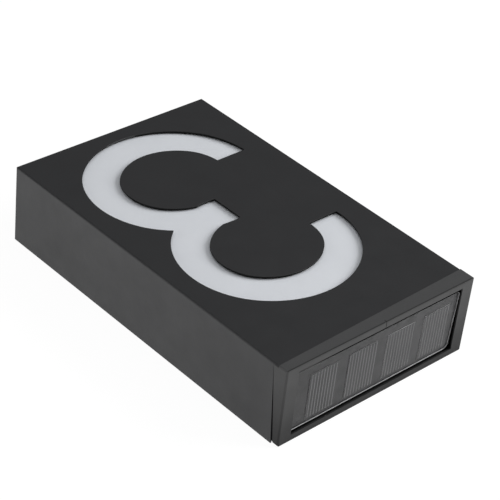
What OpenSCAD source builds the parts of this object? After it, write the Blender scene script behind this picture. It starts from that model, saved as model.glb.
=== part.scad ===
// Solar house number sign, lying on its back.
// +Z points out of the numeral face, +Y to the solar end, and Z is zero in the plane of the wall.

/* [Sign] */
// Width across the numeral
sign_w = 123.5; // [104:0.5:150]
// Length from the plain end to the solar end
sign_l = 200; // [170:1:240]
// Depth from the wall to the front face
sign_d = 44; // [42:0.5:60]
// Sheet of the folded cover and of the solar frame
sheet_t = 0.8; // [0.6:0.1:1]
// Outside radius of the cover's folds
fold_r = 1.1; // [1:0.1:2.4]

/* [Numeral] */
// Distance from the numeral to the sign's right side
margin_right = 11.6; // [10:0.1:16]
// Distance from the numeral to the sign's left side
margin_left = 15.6; // [11:0.1:18]
// Distance from the numeral's top to the solar end
margin_top = 33.6; // [32:0.1:40]
// Distance from the numeral's bottom to the plain end
margin_bottom = 9.2; // [8:0.1:16]
// Width of the stroke
stroke = 18.7; // [14:0.1:20]
// Distance between the centres of the two lobes, as a share of the numeral's height
lobe_pitch_share = 0.437; // [0.42:0.001:0.45]
// Radius of a lobe's tight arcs, as a share of its smaller half size
lobe_side_share = 0.945; // [0.75:0.005:0.98]
// Distance from the lobes' centre to the flat end of the middle bar
bar_reach = 4.5; // [3:0.1:10]
// How far below a lobe's centre its open tip is cut
tip_drop = 1.4; // [0:0.1:3]

/* [Solar frame] */
// Thickness of the frame's end face
ring_t = 0.8; // [0.8:0.1:2]
// Width of the end face beside the window
ring_side = 7.8; // [6:0.1:10]
// Width of the end face in front of the window
ring_front = 3.4; // [2:0.1:6]
// Width of the end face behind the window
ring_rear = 3.5; // [2:0.1:6]
// Height of the frame's rear edge above the wall plane
frame_lift = 0.8; // [0.4:0.1:1.2]
// Length of the frame's side walls
frame_depth = 20; // [18:0.5:22]
// Thickness of the drip lip
lip_t = 0.4; // [0.3:0.1:0.8]
// Overlap of the drip lip on the front face at the right side
lip_right = 5.7; // [3:0.1:8]
// Overlap of the drip lip on the front face at the left side
lip_left = 8.8; // [3:0.1:9]
// Distance from the solar end to the cover's side edge at the front face
side_cut_front = 8.9; // [6:0.1:12]
// Distance from the solar end to the cover's side edge at the wall
side_cut_rear = 4.6; // [3:0.1:6]
// Gap between the cover's side edge and the frame at the wall
side_cut_gap = 1.3; // [0.2:0.1:1.4]

/* [Solar panel] */
// Thickness of the clear resin
resin_t = 0.6; // [0.5:0.1:1.6]
// Thickness of the panel's circuit board
panel_board_t = 1.6; // [1:0.1:1.6]
// Gap between the frame's end face and the panel behind it
panel_gap = 0.1; // [0.1:0.1:1.6]
// Slit between the window's rear edge and the panel
slit_rear = 1.4; // [0:0.1:2.4]
// Slit between the window's front edge and the panel
slit_front = 1.5; // [0:0.1:2.4]
// Slit between the window's left side and the panel's front left corner
slit_left = 0.4; // [0:0.1:2]
// How far the panel reaches past the window's right side
panel_side = 1; // [0.5:0.1:1.5]
// How far the panel's left side leans out towards its front edge
panel_lean = 1.7; // [0:0.1:4]
// Radius of the panel's corners
panel_r = 2.6; // [1:0.1:4]
// Number of solar cells
cell_n = 4; // [3:1:5]
// Gap between two cells
cell_gap = 6.4; // [1:0.1:9]
// Distance from the first cell to the panel's rear left corner
cell_left = 3; // [0.8:0.1:12]
// Distance from the last cell to the panel's right edge
cell_right = 10.3; // [1:0.1:16]
// Distance from the cells to the panel's rear edge
cell_rear = 2.2; // [0.5:0.1:8]
// Distance from the cells to the panel's front edge
cell_front = 6; // [1:0.1:12]
// Thickness of a solar cell
cell_t = 0.2; // [0.2:0.05:0.4]

/* [Light] */
// Thickness of the opal diffuser
diffuser_t = 3; // [2:0.5:4]
// Thickness of the foam between cover and diffuser
gasket_t = 1.2; // [0.6:0.1:2]
// How far the diffuser reaches past the numeral
diffuser_margin = 3.4; // [2.4:0.1:3.6]
// Wall of the reflector tray
tray_wall = 1.5; // [1:0.1:2]
// Number of light strips
strip_n = 3; // [2:1:4]
// Number of light-emitting diodes on a strip
led_n = 4; // [2:1:6]

/* [Back] */
// Depth of the recess behind the back plate
recess_d = 6; // [5.5:0.5:7]
// Thickness of the back plate
back_t = 2; // [1.6:0.1:2.5]
// Room between back plate and reflector tray
bay_d = 16; // [16:0.5:18]
// Thickness of the wall bracket
bracket_t = 1.5; // [1:0.1:1.6]
// How far the wall bracket reaches past its hooks
bracket_side = 6; // [2:0.5:10]
// Height of the wall bracket
bracket_h = 26; // [20:1:28]
// Distance between the bracket's screw holes
bracket_pitch = 50; // [40:1:52]
// Diameter of the bracket's screw holes
bracket_hole_d = 5; // [4:0.5:6]
// How far the bracket moves to unhook
hook_travel = 7; // [6:0.5:8]
// Diameter of the battery
battery_d = 14.2; // [13.5:0.1:14.5]
// Length of the battery with its button
battery_len = 50.5; // [48:0.1:51]
// Travel of the switch knob
switch_travel = 4; // [2:0.5:4.5]

/* [Hidden] */
$fn = 64;
// Sides of the numeral's arcs
curve_n = 160;
// Sides of each rounded corner of the panel
corner_n = 8;
// Overrun of cuts
over = 1;
// Gap between the cover's sides and the frame's sides
side_gap = 0.2;
// Gap where the frame's sides meet the cover's front plate
snug_gap = 0.05;
// Gap round a plate that drops into the sheet cover
plate_gap = 0.3;
// Running gap of hinge bores
run_gap = 0.08;
// Gap round loose moving pieces
move_gap = 0.4;

// Half sizes and levels
half_w = sign_w / 2;
half_l = sign_l / 2;
in_x = half_w - sheet_t;
in_end = half_l - sheet_t;
z_plate = sign_d - sheet_t;
frame_x = in_x - side_gap;
frame_in_x = frame_x - sheet_t;
frame_top = sign_d + lip_t;
frame_y0 = half_l - frame_depth;
ring_y0 = half_l - ring_t;
slot_z0 = z_plate - snug_gap;
// Small outside radius of the frame
frame_r = 1;
// Width of the frame's rear return
return_w = 6.2;
return_z1 = frame_lift + sheet_t;
// Width of the seam in the frame's front bar
seam_w = 0.3;
// Place of the seam left of the frame's centre
seam_shift = 0.9;
win_x = half_w - ring_side;
win_z0 = frame_lift + ring_rear;
win_z1 = frame_top - ring_front;

// Levels of the light
z_diff1 = z_plate - gasket_t;
z_diff0 = z_diff1 - diffuser_t;
z_back0 = recess_d;
z_bay = recess_d + back_t;
z_tray = z_bay + bay_d;
tray_in_z = z_tray + tray_wall;

// Numeral: each lobe is an oval of two tight arcs and two wide arcs that run into each other
numeral_h = sign_l - margin_top - margin_bottom;
num_half = (sign_w - margin_left - margin_right) / 2;
numeral_x = (margin_left - margin_right) / 2;
num_top = half_l - margin_top;
num_bottom = margin_bottom - half_l;
numeral_y = (num_top + num_bottom) / 2;
lobe_pitch = lobe_pitch_share * numeral_h;
lobe_r = (numeral_h - lobe_pitch) / 2;
lobe_long = max(num_half, lobe_r);
lobe_short = min(num_half, lobe_r);
lobe_extra = lobe_long - lobe_short;
lobe_side_r = lobe_side_share * lobe_short;
lobe_spread = lobe_long - lobe_side_r;
lobe_sink = lobe_extra * (lobe_spread - lobe_extra / 2) / (lobe_spread - lobe_extra);
lobe_top_r = lobe_short + lobe_sink;
gasket_inset = 1.1;
gasket_w = 3;

// Diffuser and tray outlines
diff_x = num_half + abs(numeral_x) + diffuser_margin;
diff_y1 = num_top + diffuser_margin;
diff_y0 = num_bottom - diffuser_margin;
diff_r = 2;
tray_r = diff_r + tray_wall;
tray_y1 = diff_y1 + tray_wall;
tray_y0 = diff_y0 - tray_wall;
tray_x = diff_x + tray_wall;

// Screws: thread, head and head height of the three sizes used
m3_d = 3;
m3_head_d = 5.6;
m3_head_h = 1.9;
m2_d = 2;
m2_head_d = 3.8;
m2_head_h = 1.2;
screw_gap = 0.2;
cross_w = 0.7;
cross_share = 0.6;

// Welded tabs
tab_t = 1;
tab_w = 12;
tab_foot = 11;
tab_leg = 12;
tab_hole_in = 6;
// Places of the cover's tabs from the two ends
tab_low_in = 20;
tab_high_in = 42;
tab_ys = [-half_l + tab_low_in, half_l - tab_high_in];
frame_tab_w = 9;
frame_tab_leg = 8;
frame_tab_y = frame_y0 + side_gap + frame_tab_w / 2;
holder_tab_h = 12;

// Panel stack, front to back along -Y
panel_y1 = ring_y0 - panel_gap;
resin_y0 = panel_y1 - resin_t;
board_y0 = resin_y0 - panel_board_t;
panel_foam_t = 1;
panel_foam_w = 3;
foam_y0 = board_y0 - panel_foam_t;
holder_back_t = 1.6;
holder_y0 = foam_y0 - holder_back_t;
holder_wall = 1.6;
holder_x = frame_in_x - plate_gap;
holder_z1 = slot_z0 - plate_gap;
panel_x0 = slit_left - win_x;
panel_x1 = win_x + panel_side;
panel_z0 = win_z0 + slit_rear;
panel_z1 = win_z1 - slit_front;
panel_mid = (panel_z0 + panel_z1) / 2;
cell_z0 = panel_z0 + cell_rear;
cell_h = panel_z1 - cell_front - cell_z0;
cell_pitch = (panel_x1 - panel_x0 - panel_lean - cell_left - cell_right + cell_gap) / cell_n;
cell_w = cell_pitch - cell_gap;
cell_x0 = panel_x0 + panel_lean + cell_left;
holder_screw_in = 5.2;
holder_screw_x = frame_in_x - holder_screw_in;
holder_screw_z = panel_mid;
lead_hole_d = 5;
lead_hole_x = 12;
solder_z = panel_mid;

// Back plate outline and posts
plate_x = in_x - plate_gap;
plate_y0 = -in_end + plate_gap;
plate_step_y = frame_y0 - plate_gap;
plate_top_x = frame_in_x - plate_gap;
plate_y1 = holder_y0 - plate_gap;
post_d = 7;
// Places of the posts from the diffuser's sides and ends
post_side = 8.6;
post_end = 7;
post_x = diff_x - post_side;
post_low_y = diff_y0 + post_end;
post_high_y = diff_y1 - post_end;
post_ys = [post_low_y, (post_low_y + post_high_y) / 2, post_high_y];
buffer_d = 10;
buffer_in = 9;

// Bracket and hooks
bracket_in = 52;
bracket_y = half_l - bracket_in;
bracket_y1 = bracket_y + bracket_h / 2;
bracket_lip = 4;
hook_w = 10;
hook_post_gap = 1.7;
hook_x = post_x - post_d / 2 - hook_post_gap - hook_w / 2;
bracket_x = hook_x + hook_w / 2 + bracket_side;
hook_tongue = 5;
hook_slot_side = 0.5;
hook_z0 = z_bay + screw_gap;
hook_slot_h = hook_travel + bracket_t + hook_slot_side;

// Battery box
box_in = 52;
box_y = box_in - half_l;
box_wall = 1.2;
battery_gap = 0.3;
cav_half_y = battery_d / 2 + battery_gap + battery_gap;
contact_t = 0.5;
spring_len = 7.5;
cav_half_x = (battery_len + spring_len) / 2 + contact_t;
battery_z = z_bay + battery_gap + battery_d / 2;
cav_top = battery_z + battery_d / 2 + battery_gap;
box_top = cav_top + box_wall;
flange_t = 1.2;
flange_side = 9.5;
flange_x = cav_half_x + flange_side;
nub_d = 5.4;
nub_h = 1;
cell_rim_r = 0.8;
cell_case_len = battery_len - nub_h;
battery_x1 = cav_half_x - contact_t;
battery_x0 = battery_x1 - battery_len;
spring_d0 = 9;
spring_d1 = 5;
tag_w = 3;
tag_len = 4;
tag_z = battery_z + 2 * battery_gap;

// Battery door
door_side = 5.5;
door_low = 5.5;
door_high = 9.4;
door_x = cav_half_x + door_side;
door_y0 = box_y - cav_half_y - door_low;
door_y1 = box_y + cav_half_y + door_high;
door_r = 2.5;
door_gap = 0.4;
flange_y0 = door_y0 - door_gap - door_low;
flange_y1 = door_y1 + door_gap + door_low / 2;
door_seal_w = 1.6;
door_seal_t = 0.8;
door_seal_in = 1.2;
hinge_drop = 2.3;
hinge_off = 1;
hinge_y = door_y0 - hinge_off;
hinge_z = z_back0 - hinge_drop;
knuckle_r = 2;
pin_r = 1;
knuckle_w = 8;
knuckle_gap = 0.3;
end_knuckle_w = 5;
hinge_x = 20;
arm_t = 1.4;
arm_len = 5;
door_screw_y = door_y1 - m3_head_d / 2 - door_seal_in;
door_screw_reach = 2.5;
insert_r = 3;
insert_hole_r = 2.15;
boss_r = 4;
boss_h = 7;
finger_r = 9;
finger_depth = 0.6;

// Control board
pcb_w = 46;
pcb_h = 34;
pcb_t = 1.6;
pcb_r = 1;
pcb_in = 62;
pcb_y = half_l - pcb_in;
pcb_post = 3;
pcb_post_d = 5;
pcb_hole_in = 3;
pcb_z = z_bay + pcb_post;
pcb_top = pcb_z + pcb_t;
plug_w = 7;
plug_d = 5;
plug_h = 6;
cap_d = 6.3;
cap_h = 8;
coil_d = 6;
coil_h = 4;
chip_w = 5;
chip_d = 4;
chip_t = 1.5;
// Places of the parts on the board, in shares of its half width and half height
plug_led_share = [0.05, 0.78];
plug_panel_share = [-0.45, 0.78];
plug_battery_share = [0.6, -0.74];
plug_switch_share = [-0.1, -0.76];
cap_shares = [[-0.7, 0.15], [-0.35, 0.15]];
coil_share = [0.72, 0.1];
chip_shares = [[0.05, 0.12], [0.38, 0.1], [-0.65, -0.45]];

// Switch, halfway between the battery box and the control board
switch_y = (flange_y1 + pcb_y - pcb_h / 2) / 2;
knob_w = 5;
knob_h = 4.2;
knob_out = 2.4;
knob_flange = 1.5;
knob_flange_t = 1.6;
switch_w = 22;
switch_h = 10.5;
switch_z = 6;
ear_w = 5;
ear_t = 1;
slide_room = knob_w + 2 * knob_flange + switch_travel;
mark_w = 0.7;
mark_len = 3.4;
mark_t = 0.3;
mark_gap = 4;
terminal_x = 5;
terminal_w = 1.2;
terminal_h = 2.5;
guard_w = 1.2;
guard_h = 1.6;

// Light strips
strip_h = 9;
strip_t = 1;
strip_in = 8;
strip_x = tray_x - tray_wall - strip_in;
strip_span_in = 24;
strip_y0 = num_bottom + strip_span_in;
strip_y1 = num_top - strip_span_in;
led_w = 3.5;
led_d = 2.8;
led_t = 0.8;
led_in = 9;

// Leads
lead_r = 0.6;
lead_sides = 8;
lead_side_by = 1.5;
lead_low = 2.2;
lead_bend = 4.4;
lead_drop = 2.4;
lead_run_z = z_tray - lead_drop;
lead_lane_x = switch_w / 2 + ear_w + lead_low;
lead_up = [0.31, 0.52, 0.79];
tray_hole_d = 5;
jumper_h = 1.6;

// Helpers

// Rectangle from low to high with four rounded corners
module round_rect(lo, hi, r) {
    translate([lo.x + r, lo.y]) square([hi.x - lo.x - 2 * r, hi.y - lo.y]);
    translate([lo.x, lo.y + r]) square([hi.x - lo.x, hi.y - lo.y - 2 * r]);
    for (cx = [lo.x + r, hi.x - r], cy = [lo.y + r, hi.y - r]) translate([cx, cy]) circle(r);
}

// Box from low to high
module box(lo, hi) {
    translate(lo) cube(hi - lo);
}

// Screw whose head lies under the origin and whose shank points up
module screw(d, head_d, head_h, len) {
    difference() {
        union() {
            translate([0, 0, -head_h]) cylinder(d = head_d, h = head_h);
            cylinder(d = d, h = len);
        }
        for (turn = [0, 90]) rotate([0, 0, turn])
            box([-head_d * cross_share / 2, -cross_w / 2, -head_h - over],
                [head_d * cross_share / 2, cross_w / 2, -head_h * (1 - cross_share)]);
    }
}

function unit(v) = v / norm(v);
function ease(p) = [for (i = [0:len(p) - 1]) each (i == 0 || i == len(p) - 1) ? [p[i]]
    : [(3 * p[i] + p[i - 1]) / 4, (3 * p[i] + p[i + 1]) / 4]];
function heading(p, i) = unit(p[min(i + 1, len(p) - 1)] - p[max(i - 1, 0)]);
function hoop(c, d, r, n) = let (u = unit(cross(d, lead_up)), v = cross(d, u))
    [for (k = [0:n - 1]) c + r * (cos(360 * k / n) * u + sin(360 * k / n) * v)];

// Round lead along a route of points, with its corners eased
module lead(route) {
    p = ease(ease(route));
    n = lead_sides;
    m = len(p);
    rings = [for (i = [0:m - 1]) each hoop(p[i], heading(p, i), lead_r, n)];
    polyhedron(points = rings, faces = concat(
        [[for (k = [0:n - 1]) k]],
        [[for (k = [0:n - 1]) (m - 1) * n + n - 1 - k]],
        [for (i = [0:m - 2], k = [0:n - 1]) [i * n + k, (i + 1) * n + k, i * n + (k + 1) % n]],
        [for (i = [0:m - 2], k = [0:n - 1])
            [(i + 1) * n + k, (i + 1) * n + (k + 1) % n, i * n + (k + 1) % n]]));
}

// Oval of a lobe, grown by m on every side, with its long side across or up
module lobe(m) {
    reach = (lobe_top_r + m) * lobe_spread / norm([lobe_spread, lobe_sink]);
    rotate(lobe_r > num_half ? 90 : 0) {
        for (s = [-1, 1]) translate([s * lobe_spread, 0]) circle(lobe_side_r + m, $fn = curve_n);
        intersection() {
            translate([0, -lobe_sink]) circle(lobe_top_r + m, $fn = curve_n);
            translate([0, lobe_sink]) circle(lobe_top_r + m, $fn = curve_n);
            square([2 * reach, 2 * numeral_h], center = true);
        }
    }
}

// Numeral outline, grown by m on every side
module numeral(m = 0) {
    far = lobe_long + over + m;
    translate([numeral_x, numeral_y]) for (s = [-1, 1]) translate([0, s * lobe_pitch / 2]) difference() {
        lobe(m);
        lobe(-stroke - m);
        mirror([0, s < 0 ? 1 : 0]) translate([-far, -far])
            square([far - bar_reach - m, far - s * tip_drop - m]);
    }
}

// Folded cover

// Place of the cover's slanted side edge at a height, moved on by one gap at the wall and one at the front
function side_edge_y(z, rear_gap, front_gap) = half_l - side_cut_rear + rear_gap
    - (side_cut_front - side_cut_rear + rear_gap - front_gap) * z / sign_d;

module cover_block(grow, r) {
    w = half_w - grow;
    l = half_l - grow;
    intersection() {
        translate([0, half_l + over, 0]) rotate([90, 0, 0]) linear_extrude(sign_l + over + over)
            round_rect([-w, -sign_d], [w, sign_d - grow], r);
        translate([-half_w - over, 0, 0]) rotate([90, 0, 90]) linear_extrude(sign_w + over + over)
            round_rect([-l, -sign_d], [sign_l, sign_d - grow], r);
        translate([0, 0, -grow]) linear_extrude(sign_d + grow)
            round_rect([-w, -l], [w, sign_l], r);
    }
}

module front_cover() {
    side_y = ring_y0 - side_gap;
    color("dimgray") difference() {
        cover_block(0, fold_r);
        translate([0, 0, -over]) linear_extrude(z_plate + over)
            round_rect([-in_x, -in_end], [in_x, sign_l], fold_r - sheet_t);
        box([-sign_w, side_y, -over], [sign_w, sign_l, sign_d + over]);
        for (s = [-1, 1]) mirror([s < 0 ? 1 : 0, 0, 0]) translate([in_x - over / 2, 0, 0]) rotate([90, 0, 90])
            linear_extrude(over + sheet_t) polygon([[side_edge_y(-over, 0, 0), -over],
                [side_edge_y(z_plate, 0, 0), z_plate], [sign_l, z_plate], [sign_l, -over]]);
        translate([0, 0, z_plate - over]) linear_extrude(sheet_t + over + over) numeral();
        // Notches that clear the frame's sides under the lip
        for (s = [-1, 1]) mirror([s < 0 ? 1 : 0, 0, 0])
            box([frame_in_x - side_gap, half_l - (s < 0 ? lip_left : lip_right) - side_gap, z_plate - over],
                [sign_w, sign_l, sign_d + over]);
    }
}

module cover_tab() {
    difference() {
        union() {
            box([in_x - tab_t, -tab_w / 2, z_bay], [in_x, tab_w / 2, z_bay + tab_leg]);
            box([in_x - tab_foot, -tab_w / 2, z_bay], [in_x, tab_w / 2, z_bay + tab_t]);
        }
        translate([in_x - tab_hole_in, 0, z_bay - over]) cylinder(d = m3_d, h = tab_t + over + over);
    }
}

module cover_tabs() {
    color("silver") for (s = [0, 1], y = tab_ys) mirror([s, 0, 0]) translate([0, y, 0]) cover_tab();
}

// Solar frame

module solar_frame() {
    color("slategray") difference() {
        intersection() {
            translate([0, half_l, 0]) rotate([90, 0, 0]) linear_extrude(frame_depth)
                round_rect([-half_w, frame_lift], [half_w, frame_top], frame_r);
            linear_extrude(frame_top + over) round_rect([-half_w, 0], [half_w, half_l], frame_r);
        }
        // Steps where the side walls tuck into the cover
        for (s = [-1, 1]) mirror([s < 0 ? 1 : 0, 0, 0]) translate([frame_x, 0, 0]) rotate([90, 0, 90])
            linear_extrude(sign_w) polygon([[side_edge_y(-over, side_cut_gap, snug_gap), -over],
                [side_edge_y(sign_d, side_cut_gap, snug_gap), sign_d], [0, sign_d], [0, -over]]);
        // Hollow of the frame, open to the cover
        box([-frame_in_x, frame_y0 - over, return_z1], [frame_in_x, ring_y0, sign_d]);
        box([-frame_in_x, frame_y0 - over, -over], [frame_in_x, ring_y0 - return_w, sign_d]);
        // Slot that takes the cover's front plate
        for (s = [-1, 1]) mirror([s < 0 ? 1 : 0, 0, 0])
            box([frame_in_x - over, frame_y0 - over, slot_z0],
                [sign_w, half_l - (s < 0 ? lip_left : lip_right), sign_d]);
        // Skewed edge of the drip lip
        translate([0, 0, z_plate]) linear_extrude(sign_d) polygon([
            [-sign_w, half_l - lip_left - (lip_left - lip_right) / 2],
            [sign_w, half_l - lip_right + (lip_left - lip_right) / 2], [sign_w, 0], [-sign_w, 0]]);
        // Window
        box([-win_x, ring_y0 - over, win_z0], [win_x, half_l + over, win_z1]);
        // Seam where the frame's strip was joined
        box([-seam_shift - seam_w, ring_y0 - over, win_z1 - over],
            [-seam_shift, half_l + over, frame_top + over]);
    }
}

module frame_tab() {
    difference() {
        union() {
            box([frame_in_x - tab_t, -frame_tab_w / 2, z_bay],
                [frame_in_x, frame_tab_w / 2, z_bay + frame_tab_leg]);
            box([frame_in_x - tab_foot, -frame_tab_w / 2, z_bay],
                [frame_in_x, frame_tab_w / 2, z_bay + tab_t]);
        }
        translate([frame_in_x - tab_hole_in, 0, z_bay - over]) cylinder(d = m3_d, h = tab_t + over + over);
    }
}

module holder_tab() {
    z0 = holder_screw_z - holder_tab_h / 2;
    difference() {
        union() {
            box([frame_in_x - tab_t, holder_y0 - frame_tab_w, z0],
                [frame_in_x, holder_y0, z0 + holder_tab_h]);
            box([frame_in_x - tab_foot, holder_y0 - tab_t, z0], [frame_in_x, holder_y0, z0 + holder_tab_h]);
        }
        translate([holder_screw_x, holder_y0 + over, holder_screw_z]) rotate([90, 0, 0])
            cylinder(d = m3_d + screw_gap, h = tab_t + over + over);
    }
}

module frame_tabs() {
    color("silver") for (s = [0, 1]) mirror([s, 0, 0]) {
        translate([0, frame_tab_y, 0]) frame_tab();
        holder_tab();
    }
}

// Solar panel

// Points of an arc round a centre between two angles
function arc_points(c, r, a0, a1) = [for (k = [0:corner_n])
    let (a = a0 + (a1 - a0) * k / corner_n) c + r * [cos(a), sin(a)]];

// Slab in the panel's outline between two planes across Y, drawn in by a margin
module panel_slab(y0, y1, r, m = 0) {
    rear = panel_z0 + r + m;
    front = panel_z1 - r - m;
    left = panel_x0 + r + m;
    right = panel_x1 - r - m;
    lean_angle = 180 + atan2(panel_lean, front - rear);
    translate([0, y1, 0]) rotate([90, 0, 0]) linear_extrude(y1 - y0) polygon(concat(
        arc_points([left + panel_lean, rear], r, lean_angle, 270), arc_points([right, rear], r, 270, 360),
        arc_points([right, front], r, 0, 90), arc_points([left, front], r, 90, lean_angle)));
}

module cells() {
    for (i = [0:cell_n - 1]) translate([cell_x0 + i * cell_pitch, resin_y0, cell_z0])
        cube([cell_w, cell_t, cell_h]);
}

module solar_resin() {
    color("lightskyblue", 0.4) difference() {
        panel_slab(resin_y0, panel_y1, panel_r);
        cells();
    }
}

module solar_cells() {
    color("midnightblue") cells();
}

module panel_board() {
    color("black") panel_slab(board_y0, resin_y0, panel_r);
}

module panel_foam() {
    color("gray") difference() {
        panel_slab(foam_y0, board_y0, panel_r);
        panel_slab(foam_y0 - over, board_y0 + over, panel_r / 2, panel_foam_w);
    }
}

module panel_holder() {
    color("darkslategray") difference() {
        translate([0, ring_y0, 0]) rotate([90, 0, 0]) linear_extrude(ring_y0 - holder_y0)
            round_rect([-holder_x, return_z1], [holder_x, holder_z1], frame_r);
        translate([0, ring_y0 + over, 0]) rotate([90, 0, 0]) linear_extrude(ring_y0 + over - foam_y0)
            round_rect([holder_wall - holder_x, return_z1 + holder_wall],
                [holder_x - holder_wall, holder_z1 - holder_wall], panel_r);
        for (s = [-1, 1]) {
            translate([s * holder_screw_x, foam_y0 + over, holder_screw_z]) rotate([90, 0, 0])
                cylinder(d = m3_d, h = holder_back_t + over + over);
        }
        translate([-lead_hole_x, foam_y0 + over, solder_z]) rotate([90, 0, 0])
            cylinder(d = lead_hole_d, h = holder_back_t + over + over);
    }
}

module holder_screws() {
    color("silver") for (s = [-1, 1])
        translate([s * holder_screw_x, holder_y0 - tab_t, holder_screw_z]) rotate([-90, 0, 0])
            screw(m3_d, m3_head_d, m3_head_h, tab_t + holder_back_t);
}

// Diffuser and light

module numeral_diffuser() {
    color("white") translate([0, 0, z_diff0]) linear_extrude(diffuser_t)
        round_rect([-diff_x, diff_y0], [diff_x, diff_y1], diff_r);
}

module diffuser_gasket() {
    color("gray") translate([0, 0, z_diff1]) linear_extrude(gasket_t) difference() {
        numeral(gasket_w);
        numeral(gasket_inset);
    }
}

module reflector_tray() {
    color("whitesmoke") difference() {
        translate([0, 0, z_tray]) linear_extrude(z_diff0 - z_tray)
            round_rect([-tray_x, tray_y0], [tray_x, tray_y1], tray_r);
        translate([0, 0, tray_in_z]) linear_extrude(sign_d)
            round_rect([-diff_x, diff_y0], [diff_x, diff_y1], diff_r);
        for (s = [-1, 1], y = [post_low_y, post_high_y]) translate([s * post_x, y, z_tray - over])
            cylinder(d = m3_d + screw_gap, h = tray_wall + over + over);
        translate([0, led_hole_y(), z_tray - over]) cylinder(d = tray_hole_d, h = tray_wall + over + over);
    }
}

module tray_screws() {
    color("silver") for (s = [-1, 1], y = [post_low_y, post_high_y])
        translate([s * post_x, y, tray_in_z]) mirror([0, 0, 1])
            screw(m3_d, m3_head_d, m3_head_h, tray_wall + post_d);
}

function strip_y(i) = strip_y0 + (strip_y1 - strip_y0) * i / (strip_n - 1);
function led_hole_y() = strip_y(strip_n - 1) - strip_h / 2 - tray_hole_d;
function led_x(i) = numeral_x + (strip_x - led_in) * (2 * i / (led_n - 1) - 1);

module light_strips() {
    color("lightgray") for (i = [0:strip_n - 1])
        box([-strip_x, strip_y(i) - strip_h / 2, tray_in_z],
            [strip_x, strip_y(i) + strip_h / 2, tray_in_z + strip_t]);
}

module leds() {
    color("lightyellow") for (i = [0:strip_n - 1], k = [0:led_n - 1])
        translate([led_x(k) - led_w / 2, strip_y(i) - led_d / 2, tray_in_z + strip_t])
            cube([led_w, led_d, led_t]);
}

module led_leads() {
    z1 = tray_in_z + strip_t + lead_r;
    top = strip_y(strip_n - 1) - strip_h / 2 + lead_low;
    plug = plug_at(plug_led_share);
    color("crimson") for (s = [-1, 1]) {
        x = s * lead_side_by / 2;
        lead([[plug.x + x, plug.y, pcb_top + plug_h], [plug.x + x, plug.y, lead_run_z],
            [x, led_hole_y() - tray_hole_d, lead_run_z], [x, led_hole_y(), z_tray],
            [x, led_hole_y(), z1 + jumper_h], [x, top - lead_low, z1 + jumper_h / 2], [x, top, z1]]);
        for (i = [0:strip_n - 2]) {
            y0 = strip_y(i) + strip_h / 2 - lead_low;
            y1 = strip_y(i + 1) - strip_h / 2 + lead_low;
            jx = -strip_x + lead_low + (s + 1) * lead_side_by / 2 + lead_r;
            lead([[jx, y0, z1], [jx, y0 + lead_bend, z1 + lead_r], [jx, y1 - lead_bend, z1 + lead_r],
                [jx, y1, z1]]);
        }
    }
}

// Back plate

module back_outline() {
    translate([-plate_x, plate_y0]) square([2 * plate_x, plate_step_y - plate_y0]);
    translate([-plate_top_x, plate_y0]) square([2 * plate_top_x, plate_y1 - plate_y0]);
}

module knuckle(x0, x1, bore_r) {
    translate([x0, hinge_y, hinge_z]) rotate([0, 90, 0]) difference() {
        cylinder(r = knuckle_r, h = x1 - x0);
        translate([0, 0, -over]) cylinder(r = bore_r, h = x1 - x0 + over + over);
    }
}

// The two fixed knuckles beside one moving knuckle
module fixed_knuckles() {
    inner = knuckle_w / 2 + knuckle_gap;
    for (s = [-1, 1]) {
        x0 = hinge_x + (s < 0 ? -inner - end_knuckle_w : inner);
        x1 = x0 + end_knuckle_w;
        difference() {
            box([x0, hinge_y - knuckle_r, hinge_z], [x1, hinge_y, z_back0]);
            translate([x0 - over, hinge_y, hinge_z]) rotate([0, 90, 0])
                cylinder(r = knuckle_r - run_gap, h = end_knuckle_w + over + over);
        }
        knuckle(x0, x1, pin_r);
    }
}

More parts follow.
